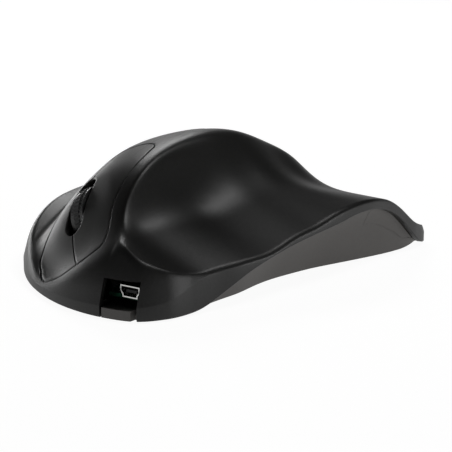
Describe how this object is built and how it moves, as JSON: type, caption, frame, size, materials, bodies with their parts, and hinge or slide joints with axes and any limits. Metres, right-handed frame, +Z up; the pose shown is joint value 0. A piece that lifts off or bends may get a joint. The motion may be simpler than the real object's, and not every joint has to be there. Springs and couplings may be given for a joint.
{
  "type": "ergonomic mouse",
  "caption": "Right-handed sculpted computer mouse with a raised finger ridge, thumb scoop and wing, two buttons, scroll wheel and small charging socket.",
  "frame": {"origin": "on the desk surface, under the middle of the bounding box", "axes": "-Y out of the front of the mouse, where the buttons and the socket are; +X towards the thumb side; +Z up"},
  "size_m": [0.1101, 0.1516, 0.0486],
  "materials": {
    "shell": "fine satin texture",
    "base": "matte",
    "tyre": "matte",
    "hub": "semi-gloss",
    "inner": "matte",
    "frame": "matte",
    "steel": "plain",
    "socket": "bright",
    "board": "semi-gloss",
    "switch": "matte",
    "lens": "clear",
    "battery": "film",
    "wire": "plain",
    "connector": "plain",
    "foot": "slick"
  },
  "bodies": {
    "case": {"top_shell": "shell", "base_plate": "base", "wing_liner": "base", "button_hinge_pin": "steel", "carrier_pin": "steel", "wheel_bracket": "frame", "switch_board": "board", "left_switch": "switch", "right_switch": "switch", "middle_switch": "switch", "deck_frame": "frame", "deck_screws": "steel", "main_board": "board", "controller_chip": "switch", "usb_socket": "socket", "usb_tongue": "inner", "optical_sensor": "switch", "sensor_lens": "lens", "sensor_led": "lens", "power_switch": "switch", "battery_pack": "battery", "battery_connector": "connector", "battery_leads": "wire", "deck_connector": "connector", "case_screws": "steel", "leg_screws": "steel", "board_screws": "steel", "front_foot": "foot", "rear_foot": "foot", "side_foot": "foot"},
    "left_button": {"left_button": "shell"},
    "right_button": {"right_button": "shell"},
    "wheel": {"wheel_hub": "hub", "wheel_tyre": "tyre", "wheel_axle": "steel"},
    "carrier": {"wheel_carrier": "inner", "wheel_encoder": "inner"},
    "slider": {"power_slider": "inner"}
  },
  "joints": [
    {"name": "left_press", "type": "hinge", "parent": "case", "child": "left_button", "pos_m": [-0.00692, -0.01985, 0.03934], "axis": [0.8903, -0.0811, 0.4482], "range_deg": [0, 0.45], "stiffness_Nm_per_rad": 1.5},
    {"name": "right_press", "type": "hinge", "parent": "case", "child": "right_button", "pos_m": [-0.01681, -0.01895, 0.03436], "axis": [0.8903, -0.0811, 0.4482], "range_deg": [0, 0.45], "stiffness_Nm_per_rad": 1.5},
    {"name": "wheel_press", "type": "hinge", "parent": "case", "child": "carrier", "pos_m": [-0.00638, -0.05469, 0.01343], "axis": [-0.8903, 0.0811, -0.4482], "range_deg": [0, 0.9], "stiffness_Nm_per_rad": 0.5},
    {"name": "wheel_spin", "type": "hinge", "parent": "carrier", "child": "wheel", "pos_m": [-0.00912, -0.04126, 0.0213], "axis": [0.8903, -0.0811, 0.4482], "continuous": true},
    {"name": "power_slide", "type": "slide", "parent": "case", "child": "slider", "axis": [0, 1, 0], "range_m": [0, 0.003]}
  ]
}
